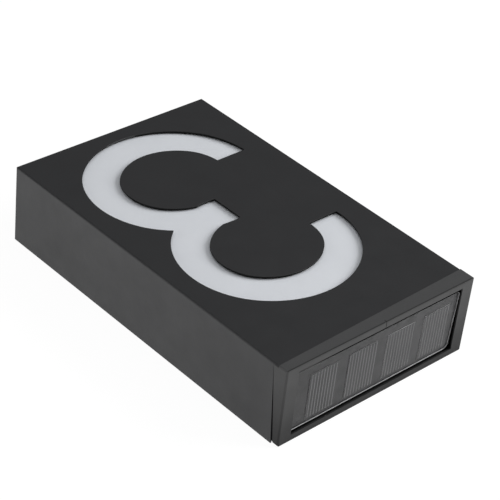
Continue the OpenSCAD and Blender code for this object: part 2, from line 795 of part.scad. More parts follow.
module back_plate() {
    slot_y1 = bracket_y1;
    color("darkgray") difference() {
        union() {
            translate([0, 0, z_back0]) linear_extrude(back_t) back_outline();
            for (s = [-1, 1], y = post_ys) translate([s * post_x, y, z_bay])
                cylinder(d = post_d, h = bay_d);
            for (s = [-1, 1], t = [-1, 1])
                translate([s * (pcb_w / 2 - pcb_hole_in), pcb_y + t * (pcb_h / 2 - pcb_hole_in), z_bay])
                    cylinder(d = pcb_post_d, h = pcb_post);
            for (s = [0, 1]) mirror([s, 0, 0]) fixed_knuckles();
            // Raised marks beside the switch, a bar for on and a ring for off
            translate([slide_room / 2 + mark_gap, switch_y, z_back0 - mark_t]) linear_extrude(mark_t)
                square([mark_w, mark_len], center = true);
            translate([-slide_room / 2 - mark_gap, switch_y, z_back0 - mark_t]) linear_extrude(mark_t)
                difference() {
                    circle(d = mark_len);
                    circle(d = mark_len - 2 * mark_w);
                }
            // Guard round the switch knob
            translate([0, 0, z_back0 - guard_h]) linear_extrude(guard_h) difference() {
                square_at(slide_room - 2 * knob_flange + 2 * (move_gap + guard_w),
                    knob_h + 2 * (move_gap + guard_w));
                square_at(slide_room - 2 * knob_flange + 2 * move_gap, knob_h + 2 * move_gap);
            }
        }
        // Screw holes to the tabs
        for (p = plate_screws()) translate([p.x, p.y, z_back0 - over])
            cylinder(d = m3_d + screw_gap, h = back_t + over + over);
        // Screw holes in the posts
        for (s = [-1, 1], y = [post_low_y, post_high_y]) translate([s * post_x, y, z_tray - post_d])
            cylinder(d = m3_d, h = post_d + over);
        for (s = [-1, 1], t = [-1, 1])
            translate([s * (pcb_w / 2 - pcb_hole_in), pcb_y + t * (pcb_h / 2 - pcb_hole_in), z_bay])
                cylinder(d = m2_d, h = pcb_post + over);
        // Slots for the bracket's hooks
        for (s = [-1, 1])
            box([s * hook_x - hook_w / 2 - hook_slot_side, slot_y1 - hook_slot_h, z_back0 - over],
                [s * hook_x + hook_w / 2 + hook_slot_side, slot_y1, z_bay + over]);
        // Opening of the battery door
        translate([0, 0, z_back0 - over]) linear_extrude(back_t + over + over)
            round_rect([-door_x - door_gap, door_y0 - door_gap], [door_x + door_gap, door_y1 + door_gap],
                door_r + door_gap);
        // Slot of the switch
        translate([0, 0, z_back0 - over]) linear_extrude(back_t + over + over)
            square_at(slide_room - 2 * knob_flange + 2 * move_gap, knob_h + 2 * move_gap);
        for (s = [-1, 1]) translate([s * (switch_w + ear_w) / 2, switch_y, z_back0 - over])
            cylinder(d = m2_d, h = back_t + over + over);
        // Blind holes for the rubber buffers
        for (p = buffers()) translate([p.x, p.y, z_back0 - over])
            cylinder(d = buffer_d / 2, h = over + back_t / 2);
    }
}

// Rectangle centred on the switch
module square_at(w, h) {
    translate([0, switch_y]) square([w, h], center = true);
}

function plate_screws() = concat(
    [for (s = [-1, 1], y = tab_ys) [s * (in_x - tab_hole_in), y]],
    [for (s = [-1, 1]) [s * (frame_in_x - tab_hole_in), frame_tab_y]]);

function buffers() = [for (s = [-1, 1]) [s * (plate_x - buffer_in - buffer_d), plate_y0 + buffer_in]];

module back_plate_screws() {
    color("silver") for (p = plate_screws()) translate([p.x, p.y, z_back0])
        screw(m3_d, m3_head_d, m3_head_h, back_t + 2 * tab_t);
}

module wall_buffers() {
    color("black") for (p = buffers()) translate([p.x, p.y, 0]) {
        cylinder(d = buffer_d, h = z_back0);
        cylinder(d = buffer_d / 2, h = z_back0 + back_t / 2);
    }
}

// Control board

function plug_at(share) = [share.x * pcb_w / 2, pcb_y + share.y * pcb_h / 2];

module control_board() {
    color("darkgreen") difference() {
        translate([0, pcb_y, pcb_z]) linear_extrude(pcb_t)
            round_rect([-pcb_w / 2, -pcb_h / 2], [pcb_w / 2, pcb_h / 2], pcb_r);
        for (s = [-1, 1], t = [-1, 1])
            translate([s * (pcb_w / 2 - pcb_hole_in), pcb_y + t * (pcb_h / 2 - pcb_hole_in), pcb_z - over])
                cylinder(d = m2_d + screw_gap, h = pcb_t + over + over);
    }
}

module board_components() {
    color("dimgray") {
        for (share = [plug_led_share, plug_panel_share, plug_battery_share, plug_switch_share])
            translate([plug_at(share).x - plug_w / 2, plug_at(share).y - plug_d / 2, pcb_top])
                cube([plug_w, plug_d, plug_h]);
        for (share = cap_shares) translate([plug_at(share).x, plug_at(share).y, pcb_top])
            cylinder(d = cap_d, h = cap_h);
        translate([plug_at(coil_share).x, plug_at(coil_share).y, pcb_top]) cylinder(d = coil_d, h = coil_h);
        for (share = chip_shares)
            translate([plug_at(share).x - chip_w / 2, plug_at(share).y - chip_d / 2, pcb_top])
                cube([chip_w, chip_d, chip_t]);
    }
}

module board_screws() {
    color("silver") for (s = [-1, 1], t = [-1, 1])
        translate([s * (pcb_w / 2 - pcb_hole_in), pcb_y + t * (pcb_h / 2 - pcb_hole_in), pcb_top])
            mirror([0, 0, 1]) screw(m2_d, m2_head_d, m2_head_h, pcb_t + pcb_post);
}

// Battery

module battery_box() {
    color("black") difference() {
        union() {
            translate([0, 0, z_bay]) linear_extrude(flange_t)
                round_rect([-flange_x, flange_y0], [flange_x, flange_y1], door_r);
            box([-cav_half_x - box_wall, box_y - cav_half_y - box_wall, z_bay],
                [cav_half_x + box_wall, box_y + cav_half_y + box_wall, box_top]);
            translate([0, door_screw_y, z_bay]) cylinder(r = boss_r, h = boss_h);
        }
        box([-cav_half_x, box_y - cav_half_y, z_bay - over], [cav_half_x, box_y + cav_half_y, cav_top]);
        translate([0, door_screw_y, z_bay - over]) cylinder(r = insert_r, h = boss_h - box_wall + over);
        for (s = [-1, 1])
            box([s * (cav_half_x + box_wall / 2) - box_wall, box_y - tag_w / 2, tag_z],
                [s * (cav_half_x + box_wall / 2) + box_wall, box_y + tag_w / 2, tag_z + contact_t]);
    }
}

module battery() {
    color("seagreen") translate([battery_x0, box_y, battery_z]) rotate([0, 90, 0]) {
        rotate_extrude() {
            square([battery_d / 2 - cell_rim_r, cell_case_len]);
            translate([0, cell_rim_r]) square([battery_d / 2, cell_case_len - 2 * cell_rim_r]);
            for (z = [cell_rim_r, cell_case_len - cell_rim_r]) translate([battery_d / 2 - cell_rim_r, z])
                intersection() {
                    circle(cell_rim_r);
                    translate([0, -cell_rim_r]) square([cell_rim_r, 2 * cell_rim_r]);
                }
        }
        cylinder(d = nub_d, h = battery_len);
    }
}

module battery_contacts() {
    h = cav_half_y - battery_gap;
    color("goldenrod") for (s = [-1, 1]) {
        x0 = s < 0 ? -cav_half_x : cav_half_x - contact_t;
        box([x0, box_y - h, battery_z - h], [x0 + contact_t, box_y + h, battery_z + h]);
        t0 = s < 0 ? -cav_half_x - box_wall - tag_len : cav_half_x - contact_t;
        box([t0, box_y - tag_w / 2, tag_z],
            [t0 + contact_t + box_wall + tag_len, box_y + tag_w / 2, tag_z + contact_t]);
    }
}

module battery_spring() {
    color("lightgray") translate([-cav_half_x + contact_t, box_y, battery_z]) rotate([0, 90, 0])
        cylinder(d1 = spring_d0, d2 = spring_d1, h = spring_len - contact_t);
}

module battery_leads() {
    plug = plug_at(plug_battery_share);
    z = tag_z + contact_t + lead_r;
    color("crimson") for (s = [-1, 1]) {
        x = s * (cav_half_x + box_wall + tag_len / 2);
        px = plug.x + s * lead_side_by / 2;
        lead([[x, box_y, z], [x, box_y + tag_w + lead_low, z], [x, door_y1, pcb_top + plug_h - lead_low],
            [s * lead_lane_x, switch_y, lead_run_z],
            [px, plug.y - plug_d - lead_low, lead_run_z],
            [px, plug.y, lead_run_z], [px, plug.y, pcb_top + plug_h]]);
    }
}

// Battery door

module battery_door() {
    color("darkgray") difference() {
        union() {
            translate([0, 0, z_back0]) linear_extrude(back_t)
                round_rect([-door_x, door_y0], [door_x, door_y1], door_r);
            for (s = [-1, 1]) {
                translate([s * hinge_x - knuckle_w / 2, 0, 0]) {
                    difference() {
                        box([0, hinge_y, hinge_z + knuckle_r - arm_t],
                            [knuckle_w, hinge_y + hinge_off + arm_len, z_back0]);
                        box([-over, hinge_y - over, hinge_z + knuckle_r],
                            [knuckle_w + over, hinge_y + hinge_off, z_back0 + over]);
                        translate([-over, hinge_y, hinge_z]) rotate([0, 90, 0])
                            cylinder(r = pin_r + run_gap, h = knuckle_w + over + over);
                    }
                }
                knuckle(s * hinge_x - knuckle_w / 2, s * hinge_x + knuckle_w / 2, pin_r + run_gap);
            }
        }
        // Groove of the gasket
        translate([0, 0, z_bay - door_seal_t]) linear_extrude(over + door_seal_t) door_seal();
        // Finger hollow
        translate([door_x / 2, door_y1 - finger_r / 2, z_back0 - finger_r + finger_depth]) sphere(finger_r);
        // Hole of the captive screw
        translate([0, door_screw_y, z_back0 - over]) cylinder(d = m3_d, h = back_t + over + over);
    }
}

// Ring that the gasket fills, inside the door screw
module door_seal() {
    x = cav_half_x + door_seal_in;
    y = cav_half_y + door_seal_in;
    difference() {
        translate([0, box_y])
            round_rect([-x - door_seal_w, -y - door_seal_w], [x + door_seal_w, y + door_seal_w], door_r);
        translate([0, box_y]) round_rect([-x, -y], [x, y], door_r - door_seal_w);
    }
}

module door_gasket() {
    color("black") translate([0, 0, z_bay - door_seal_t]) linear_extrude(door_seal_t) door_seal();
}

module door_hinge_pins() {
    len = knuckle_w + 2 * (knuckle_gap + end_knuckle_w);
    color("silver") for (s = [-1, 1]) translate([s * hinge_x - len / 2, hinge_y, hinge_z]) rotate([0, 90, 0])
        cylinder(r = pin_r, h = len);
}

module door_screw() {
    color("silver") translate([0, door_screw_y, z_back0])
        screw(m3_d, m3_head_d, m3_head_h, back_t + door_screw_reach);
}

module door_insert() {
    color("gold") translate([0, door_screw_y, z_bay]) difference() {
        cylinder(r = insert_r, h = boss_h - box_wall);
        translate([0, 0, -over]) cylinder(r = insert_hole_r, h = boss_h + over);
    }
}

// Switch

module switch_body() {
    color("silver") difference() {
        union() {
            box([-switch_w / 2, switch_y - switch_h / 2, z_bay],
                [switch_w / 2, switch_y + switch_h / 2, z_bay + switch_z]);
            box([-switch_w / 2 - ear_w, switch_y - ear_w / 2, z_bay],
                [switch_w / 2 + ear_w, switch_y + ear_w / 2, z_bay + ear_t]);
            for (i = [-1, 1]) translate([i * terminal_x, switch_y, z_bay + switch_z])
                box([-terminal_w / 2, -terminal_w / 2, 0], [terminal_w / 2, terminal_w / 2, terminal_h]);
        }
        box([-slide_room / 2 - move_gap, switch_y - knob_h / 2 - knob_flange / 2 - move_gap, z_bay - over],
            [slide_room / 2 + move_gap, switch_y + knob_h / 2 + knob_flange / 2 + move_gap,
                z_bay + knob_flange_t + 2 * move_gap]);
        for (s = [-1, 1]) translate([s * (switch_w + ear_w) / 2, switch_y, z_bay - over])
            cylinder(d = m2_d, h = ear_t + over + over);
    }
}

module switch_knob() {
    x = -switch_travel / 2;
    color("black") difference() {
        union() {
            box([x - knob_w / 2, switch_y - knob_h / 2, z_back0 - knob_out],
                [x + knob_w / 2, switch_y + knob_h / 2, z_bay + move_gap]);
            box([x - knob_w / 2 - knob_flange, switch_y - knob_h / 2 - knob_flange / 2, z_bay + move_gap],
                [x + knob_w / 2 + knob_flange, switch_y + knob_h / 2 + knob_flange / 2,
                    z_bay + move_gap + knob_flange_t]);
        }
        // Grip grooves
        for (i = [-1:1])
            translate([x + i * knob_w / 4 - cross_w / 2, switch_y - knob_h, z_back0 - knob_out - over])
                cube([cross_w, 2 * knob_h, over + cross_w]);
    }
}

module switch_screws() {
    color("silver") for (s = [-1, 1]) translate([s * (switch_w + ear_w) / 2, switch_y, z_bay + ear_t])
        mirror([0, 0, 1]) screw(m2_d, m2_head_d, m2_head_h, ear_t + back_t);
}

module switch_leads() {
    plug = plug_at(plug_switch_share);
    z0 = z_bay + switch_z + terminal_h;
    color("navy") for (s = [-1, 1]) {
        px = plug.x + s * lead_side_by / 2;
        lead([[s * terminal_x, switch_y, z0], [s * terminal_x, switch_y, z0 + lead_low / 2],
            [s * terminal_x, (switch_y + plug.y) / 2, pcb_top + plug_h],
            [px, plug.y - lead_low, pcb_top + plug_h + lead_low / 2],
            [px, plug.y, pcb_top + plug_h + lead_low / 2], [px, plug.y, pcb_top + plug_h]]);
    }
}

module panel_leads() {
    plug = plug_at(plug_panel_share);
    color("crimson") for (s = [-1, 1]) {
        x = -lead_hole_x + s * lead_side_by / 2;
        px = plug.x + s * lead_side_by / 2;
        lead([[x, board_y0, solder_z], [x, holder_y0 - lead_low, solder_z],
            [x, tray_y1 + lead_bend + lead_low, solder_z], [x, tray_y1 + lead_bend, lead_run_z],
            [px, tray_y1 - lead_bend, lead_run_z],
            [px, plug.y + plug_d, lead_run_z], [px, plug.y, lead_run_z], [px, plug.y, pcb_top + plug_h]]);
    }
}

// Wall bracket

module wall_bracket() {
    y0 = bracket_y - bracket_h / 2;
    color("lightsteelblue") difference() {
        union() {
            box([-bracket_x, y0, 0], [bracket_x, bracket_y1, bracket_t]);
            box([-bracket_x, y0, 0], [bracket_x, y0 + bracket_t, bracket_lip]);
            for (s = [-1, 1]) translate([s * hook_x - hook_w / 2, bracket_y1, 0]) {
                translate([0, -bracket_t, 0]) cube([hook_w, bracket_t, hook_z0 + bracket_t]);
                translate([0, -bracket_t, hook_z0]) cube([hook_w, bracket_t + hook_tongue, bracket_t]);
            }
        }
        for (s = [-1, 1]) translate([s * bracket_pitch / 2, bracket_y, -over])
            cylinder(d = bracket_hole_d, h = bracket_t + over + over);
    }
}

front_cover();
cover_tabs();
solar_frame();
frame_tabs();
numeral_diffuser();
diffuser_gasket();
reflector_tray();
tray_screws();
light_strips();
leds();
led_leads();
solar_resin();
solar_cells();
panel_board();
panel_foam();
panel_holder();
holder_screws();
panel_leads();
back_plate();
back_plate_screws();
wall_buffers();
control_board();
board_components();
board_screws();
battery_box();
battery();
battery_contacts();
battery_spring();
battery_leads();
battery_door();
door_gasket();
door_hinge_pins();
door_screw();
door_insert();
switch_body();
switch_knob();
switch_screws();
switch_leads();
wall_bracket();
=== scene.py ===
"""Looks of the solar house number sign: materials, finer pieces, light and camera.

The sign lies on its back on a pale floor, with +Z out of the numeral face and +Y to the solar end.
"""

import math

import bmesh
import bpy
from mathutils import Euler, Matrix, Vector


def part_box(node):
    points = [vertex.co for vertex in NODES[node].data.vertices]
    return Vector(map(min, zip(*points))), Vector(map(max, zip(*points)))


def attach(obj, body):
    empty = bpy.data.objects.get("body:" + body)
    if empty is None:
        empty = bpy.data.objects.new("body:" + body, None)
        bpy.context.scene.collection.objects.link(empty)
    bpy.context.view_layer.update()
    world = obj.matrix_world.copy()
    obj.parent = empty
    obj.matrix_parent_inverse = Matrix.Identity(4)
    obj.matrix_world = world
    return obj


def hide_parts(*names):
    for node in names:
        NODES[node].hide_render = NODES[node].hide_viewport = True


MM = 0.001

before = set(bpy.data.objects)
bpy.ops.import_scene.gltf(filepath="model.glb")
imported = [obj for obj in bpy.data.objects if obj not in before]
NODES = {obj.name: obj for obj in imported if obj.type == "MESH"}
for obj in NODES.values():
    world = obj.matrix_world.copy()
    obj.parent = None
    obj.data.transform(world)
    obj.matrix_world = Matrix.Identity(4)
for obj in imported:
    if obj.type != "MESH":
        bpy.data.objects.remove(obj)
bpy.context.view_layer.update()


# Node helpers


class Shader:
    """A material with a Principled surface and a few short calls to add nodes."""

    def __init__(self, name):
        self.mat = bpy.data.materials.new(name)
        self.mat.use_nodes = True
        self.tree = self.mat.node_tree
        self.surface = self.tree.nodes["Principled BSDF"]
        self.coords = self.tree.nodes.new("ShaderNodeTexCoord").outputs["Object"]

    def link(self, output, target):
        self.tree.links.new(output, target)

    def set(self, **values):
        for name, value in values.items():
            self.surface.inputs[name.replace("_", " ")].default_value = value

    def stretched(self, scale):
        node = self.tree.nodes.new("ShaderNodeMapping")
        node.inputs["Scale"].default_value = scale
        self.link(self.coords, node.inputs["Vector"])
        return node.outputs["Vector"]

    def noise(self, scale, detail=2.0, rough=0.5, along=None):
        node = self.tree.nodes.new("ShaderNodeTexNoise")
        node.inputs["Scale"].default_value = scale
        node.inputs["Detail"].default_value = detail
        node.inputs["Roughness"].default_value = rough
        vector = self.stretched(along) if along else self.coords
        self.link(vector, node.inputs["Vector"])
        return node.outputs["Fac"]

    def cells(self, scale, output="Distance"):
        node = self.tree.nodes.new("ShaderNodeTexVoronoi")
        node.inputs["Scale"].default_value = scale
        self.link(self.coords, node.inputs["Vector"])
        return node.outputs[output]

    def math(self, kind, a, b):
        node = self.tree.nodes.new("ShaderNodeMath")
        node.operation = kind
        for value, target in ((a, node.inputs[0]), (b, node.inputs[1])):
            if isinstance(value, (int, float)):
                target.default_value = value
            else:
                self.link(value, target)
        return node.outputs[0]

    def remap(self, value, from_lo, from_hi, to_lo, to_hi):
        node = self.tree.nodes.new("ShaderNodeMapRange")
        self.link(value, node.inputs["Value"])
        for name, number in (
            ("From Min", from_lo), ("From Max", from_hi), ("To Min", to_lo), ("To Max", to_hi),
        ):
            node.inputs[name].default_value = number
        return node.outputs["Result"]

    def spread(self, noise, to_lo, to_hi):
        """The middle range of a noise, stretched over the given range."""
        return self.remap(noise, 0.3, 0.7, to_lo, to_hi)

    def place(self):
        """X, Y and Z on the piece, in metres."""
        split = self.tree.nodes.new("ShaderNodeSeparateXYZ")
        self.link(self.coords, split.inputs["Vector"])
        return split.outputs["X"], split.outputs["Y"], split.outputs["Z"]

    def mix(self, share, a, b):
        node = self.tree.nodes.new("ShaderNodeMix")
        node.data_type = "RGBA"
        if isinstance(share, (int, float)):
            node.inputs["Factor"].default_value = share
        else:
            self.link(share, node.inputs["Factor"])
        for value, target in ((a, node.inputs["A"]), (b, node.inputs["B"])):
            # the socket names repeat for each data type, so the colour ones are picked by type
            target = next(s for s in node.inputs if s.type == "RGBA" and s.name == target.name)
            if isinstance(value, tuple):
                target.default_value = (*value, 1.0)
            else:
                self.link(value, target)
        return next(s for s in node.outputs if s.type == "RGBA")

    def colour(self, output):
        self.link(output, self.surface.inputs["Base Color"])

    def roughness(self, output):
        self.link(output, self.surface.inputs["Roughness"])

    def bump(self, *layers):
        """Each layer is a height output, its strength and its depth in metres."""
        last = None
        for height, strength, depth in layers:
            node = self.tree.nodes.new("ShaderNodeBump")
            node.inputs["Strength"].default_value = strength
            node.inputs["Distance"].default_value = depth
            self.link(height, node.inputs["Height"])
            if last is not None:
                self.link(last, node.inputs["Normal"])
            last = node.outputs["Normal"]
        self.link(last, self.surface.inputs["Normal"])


def shade(colour, factor):
    return tuple(min(1.0, channel * factor) for channel in colour)


# Materials


def powder_coat(name, colour, rough, worn=0.0, lit_above=None, floor_shade_share=0.7, shaded_fold=None):
    """Fine textured powder coat: speckle, soft orange peel, faint rubbed streaks.

    Above the height lit_above, in millimetres, the coat is painted paler, as painted light on the top.
    Towards the wall it is painted darker, down to the share floor_shade_share of its tone: painted shade.
    shaded_fold is the sum of Y and Z along a fold's middle, in millimetres, where a line of painted shade
    runs.
    """
    s = Shader(name)
    _, length, height = s.place()
    broad = s.noise(26.0, 3.0, 0.6)
    speckle = s.noise(2600.0, 2.0, 0.6)
    clouded = s.mix(s.spread(broad, 0.0, 1.0), shade(colour, 0.96), shade(colour, 1.04))
    grained = s.mix(
        s.remap(speckle, 0.56, 0.74, 0.0, 0.3 + 0.2 * worn), clouded, shade(colour, 1.7)
    )
    streak = s.noise(9.0, 5.0, 0.7, along=(1.0, 7.0, 3.0))
    rubbed = s.remap(streak, 0.64, 0.8, 0.0, 0.2 + 0.5 * worn)
    coat = s.mix(rubbed, grained, shade(colour, 1.3))
    # painted light: the top strip of the coat is painted paler
    if lit_above:
        high = s.remap(height, (lit_above - 0.3) * MM, (lit_above + 0.1) * MM, 0.0, 1.0)
        lit_coat = s.mix(s.spread(speckle, 0.0, 1.0), shade(colour, 1.6), shade(colour, 1.9))
        coat = s.mix(high, coat, lit_coat)
    # painted shade: a dark line is painted along the fold
    if shaded_fold:
        along = s.math("ADD", length, height)
        fold_shade_share = s.remap(along, (shaded_fold - 0.10) * MM, shaded_fold * MM, 0.0, 0.65)
        coat = s.mix(fold_shade_share, coat, shade(colour, 0.2))
    # painted shade: the coat is painted darker and less glossy towards the wall, where the floor shades the
    # sides
    unshaded = s.remap(s.math("ADD", height, s.math("MULTIPLY", broad, 5 * MM)), 2 * MM, 38 * MM, 0.0, 1.0)
    s.colour(s.mix(unshaded, s.mix(1.0 - floor_shade_share, coat, shade(colour, 0.1)), coat))
    s.link(s.remap(unshaded, 0.0, 1.0, 0.5 * floor_shade_share, 0.5), s.surface.inputs["Specular IOR Level"])
    smooth = s.noise(70.0, 4.0, 0.6)
    s.roughness(s.spread(smooth, rough - 0.04, rough + 0.05))
    s.bump((s.noise(420.0, 2.0, 0.5), 0.07, 0.0004), (s.noise(1700.0, 3.0, 0.6), 0.12, 0.00012))
    return s.mat


def moulded(name, colour, rough, grain=1400.0, depth=0.10):
    """Injection moulding with an eroded grain and faint flow marks."""
    s = Shader(name)
    flow = s.noise(16.0, 4.0, 0.65, along=(1.0, 2.6, 1.0))
    fine = s.noise(grain, 3.0, 0.6)
    body = s.mix(s.spread(flow, 0.0, 1.0), shade(colour, 0.9), shade(colour, 1.12))
    s.colour(s.mix(s.remap(fine, 0.55, 0.8, 0.0, 0.3), body, shade(colour, 1.5)))
    s.roughness(s.spread(s.noise(90.0, 3.0), rough - 0.06, rough + 0.08))
    s.bump((s.noise(grain * 0.4, 2.0), 0.08, 0.0003), (fine, depth, 0.00012))
    return s.mat


def plated(name, colour, rough, spangle=0.0, along=(1.0, 12.0, 1.0)):
    """Zinc or nickel plated steel: rolling lines, faint spangle and dull patches."""
    s = Shader(name)
    s.set(Metallic=1.0)
    rolled = s.noise(300.0, 4.0, 0.7, along=along)
    patch = s.noise(45.0, 4.0, 0.6)
    base = s.mix(s.spread(patch, 0.0, 1.0), shade(colour, 0.82), shade(colour, 1.06))
    if spangle:
        flakes = s.cells(240.0, output="Color")
        split = s.tree.nodes.new("ShaderNodeSeparateColor")
        s.link(flakes, split.inputs["Color"])
        base = s.mix(s.remap(split.outputs["Red"], 0.0, 1.0, 0.0, spangle), base, shade(colour, 0.6))
    s.colour(base)
    s.roughness(s.spread(rolled, rough - 0.07, rough + 0.12))
    s.bump((rolled, 0.05, 0.00008), (s.noise(900.0, 2.0), 0.05, 0.00005))
    return s.mat


def opal(name, colour):
    """Opal acrylic with a satin skin: cloudy, very even, with a few fine dust specks."""
    s = Shader(name)
    s.set(Subsurface_Weight=0.12, Subsurface_Scale=0.0006, IOR=1.49)
    s.surface.inputs["Subsurface Radius"].default_value = (1.0, 1.0, 1.0)
    cloud = s.noise(34.0, 3.0, 0.55)
    body = s.mix(s.spread(cloud, 0.0, 1.0), shade(colour, 0.975), shade(colour, 1.02))
    dust = s.remap(s.cells(620.0), 0.0, 0.07, 0.25, 0.0)
    s.colour(s.mix(dust, body, shade(colour, 0.8)))
    s.roughness(s.spread(s.noise(160.0, 3.0), 0.36, 0.46))
    s.bump((s.noise(520.0, 2.0), 0.05, 0.0002))
    return s.mat


def foam(name, colour):
    """Closed cell foam: small pits in a dull body."""
    s = Shader(name)
    pits = s.cells(1500.0)
    s.colour(s.mix(s.remap(pits, 0.0, 0.5, 0.0, 1.0), shade(colour, 0.6), shade(colour, 1.5)))
    s.roughness(s.spread(s.noise(300.0), 0.86, 0.97))
    s.bump((pits, 0.5, 0.0003))
    return s.mat


def rubber(name, colour):
    """Soft rubber or wire jacket with a faint bloom."""
    s = Shader(name)
    bloom = s.noise(110.0, 4.0, 0.6)
    s.colour(s.mix(s.remap(bloom, 0.35, 0.75, 0.0, 1.0), shade(colour, 0.9), shade(colour, 1.3)))
    s.roughness(s.spread(s.noise(260.0, 3.0), 0.58, 0.76))
    s.bump((s.noise(1200.0, 2.0), 0.1, 0.0001))
    return s.mat


def painted_sheen(s, body, colour, pale):
    """The body's colour, painted paler towards the left side up to the factor pale: a painted sheen."""
    drift = s.math("ADD", s.place()[0], s.math("MULTIPLY", s.noise(30.0, 3.0), 16 * MM))
    return s.mix(s.remap(drift, 58 * MM, -42 * MM, 0.0, 0.5), body, shade(colour, pale))


def laminate(name, colour, track, rough, pale=1.0):
    """Circuit laminate: solder mask over a woven ground, with a painted sheen towards the left where pale is
    over 1.
    """
    s = Shader(name)
    weave = s.noise(500.0, 1.0, 0.5, along=(1.0, 3.0, 1.0))
    patch = s.spread(s.noise(30.0, 3.0), 0.0, 1.0)
    ground = s.mix(patch, shade(colour, 0.9), shade(colour, 1.15))
    mask = s.mix(s.remap(weave, 0.5, 0.8, 0.0, 0.2), ground, track)
    s.colour(painted_sheen(s, mask, colour, pale))
    s.roughness(s.spread(s.noise(200.0, 3.0), rough - 0.05, rough + 0.1))
    s.bump((weave, 0.04, 0.0001))
    return s.mat


def silicon(name, colour):
    """Dark silicon with broad tone steps from piece to piece and a fine texture."""
    s = Shader(name)
    broad = s.noise(55.0, 2.0, 0.5)
    body = s.mix(s.spread(broad, 0.0, 1.0), shade(colour, 0.85), shade(colour, 1.15))
    piece_tone = s.mix(s.remap(s.noise(240.0, 2.0), 0.4, 0.8, 0.0, 0.3), body, shade(colour, 1.25))
    # painted sheen: the silicon is painted paler towards the left side
    s.colour(painted_sheen(s, piece_tone, colour, 2.6))
    s.roughness(s.spread(s.noise(120.0, 3.0), 0.40, 0.5))
    s.bump((s.noise(200.0, 2.0), 0.03, 0.0001))
    return s.mat


def resin(name, colour, alpha, gloss):
    """Cast clear resin, a little hazy from weather, with fine wipe marks."""
    s = Shader(name)
    s.set(Alpha=alpha, IOR=1.52, Specular_IOR_Level=gloss)
    haze = s.noise(40.0, 4.0, 0.6)
    s.colour(s.mix(s.spread(haze, 0.0, 1.0), shade(colour, 0.9), shade(colour, 1.1)))
    wipe = s.noise(120.0, 5.0, 0.7, along=(1.0, 1.0, 6.0))
    s.roughness(s.spread(wipe, 0.22, 0.30))
    s.bump((s.noise(24.0, 2.0), 0.04, 0.0006))
    return s.mat


def shadow_black(name, level):
    """Near black moulding or foam that light hardly reaches, darker than the material itself as painted
    shade, with a faint dusty bloom.
    """
    s = Shader(name)
    s.set(Specular_IOR_Level=0.15)
    dust = s.noise(180.0, 4.0, 0.6)
    bare = (level, level, level)
    s.colour(s.mix(s.remap(dust, 0.35, 0.75, 0.0, 1.0), bare, shade(bare, 1.8)))
    s.roughness(s.spread(s.noise(300.0), 0.8, 0.95))
    s.bump((s.noise(900.0, 2.0), 0.1, 0.0001))
    return s.mat


def rim_line_shade(name):
    """Painted shade and dark reflection along the panel's front edge, which thins out towards the right end.
    """
    s = Shader(name)
    s.set(Specular_IOR_Level=0.15)
    drift = s.math("ADD", s.place()[0], s.math("MULTIPLY", s.noise(90.0, 3.0), 16 * MM))
    s.colour(s.mix(s.remap(drift, 36 * MM, 60 * MM, 0.0, 1.0), (0.006, 0.006, 0.006), (0.12, 0.12, 0.12)))
    s.roughness(s.spread(s.noise(300.0), 0.8, 0.95))
    s.bump((s.noise(900.0, 2.0), 0.1, 0.0001))
    return s.mat


def print_paste(name, colour):
    """Screen printed silver paste."""
    s = Shader(name)
    s.set(Metallic=0.35)
    grain = s.spread(s.noise(2400.0, 2.0), 0.0, 1.0)
    s.colour(s.mix(grain, shade(colour, 0.85), shade(colour, 1.1)))
    s.roughness(s.spread(s.noise(900.0, 2.0), 0.4, 0.55))
    s.bump((s.noise(3000.0, 2.0), 0.2, 0.00004))
    return s.mat


COVER = (0.0240, 0.0243, 0.0258)
FRAME = (0.0360, 0.0362, 0.0368)
ZINC = (0.60, 0.61, 0.62)

cover_coat = powder_coat("cover_coat", COVER, 0.50, floor_shade_share=0.85)
# painted shade: the cover's edge coat is a darker copy of the cover coat, with real rubbed wear
cover_edge_shaded = powder_coat("cover_edge_shaded_coat", shade(COVER, 0.7), 0.50, worn=0.3)
frame_coat = powder_coat("frame_coat", FRAME, 0.52, lit_above=44.0, floor_shade_share=0.35, shaded_fold=143.7)
# painted shade: the frame's edge coat is a much darker copy of the frame coat, drawing shade lines at its
# edges, with real rubbed wear
frame_edge_shaded = powder_coat("frame_edge_shaded_coat", shade(FRAME, 0.35), 0.60, worn=0.2)
zinc = plated("zinc_sheet", ZINC, 0.34, spangle=0.5)
screw_steel = plated("screw_steel", (0.66, 0.66, 0.67), 0.28, along=(1.0, 1.0, 4.0))
spring_steel = plated("spring_steel", (0.62, 0.62, 0.63), 0.24)
brass = plated("plated_brass", (0.70, 0.56, 0.29), 0.30)
opal_acrylic = opal("opal_acrylic", (0.82, 0.845, 0.885))
white_plastic = moulded("white_plastic", (0.78, 0.78, 0.76), 0.5)
black_plastic = moulded("black_plastic", (0.022, 0.022, 0.023), 0.48)
grey_plastic = moulded("grey_plastic", (0.060, 0.062, 0.064), 0.52)
# painted highlight: the grey plastic's bevels get a lighter copy of it
grey_edge_lit = moulded("grey_plastic_edge_lit", (0.085, 0.087, 0.09), 0.45)
dark_foam = foam("dark_foam", (0.03, 0.03, 0.03))
# painted shade: the black holder is made darker than black plastic, for the dark slits round the panel
holder_shade_black = shadow_black("holder_shade_black", 0.005)
# painted shade: the black gasket is made darker than its foam, for the dark gap under the numeral's edges
gasket_shade_black = shadow_black("gasket_shade_black", 0.007)
# painted shade: the numeral's cut walls are coated like the cover, and are painted near black as shade
cut_wall_shade = shadow_black("cut_wall_shade", 0.008)
dark_rubber = rubber("dark_rubber", (0.022, 0.022, 0.022))
jacket = rubber("lead_jacket", (0.42, 0.025, 0.02))
strip_face = laminate("strip_face", (0.74, 0.74, 0.72), (0.80, 0.80, 0.78), 0.4)
phosphor = moulded("led_phosphor", (0.85, 0.74, 0.32), 0.35)
cell_silicon = silicon("cell_silicon", (0.030, 0.030, 0.031))
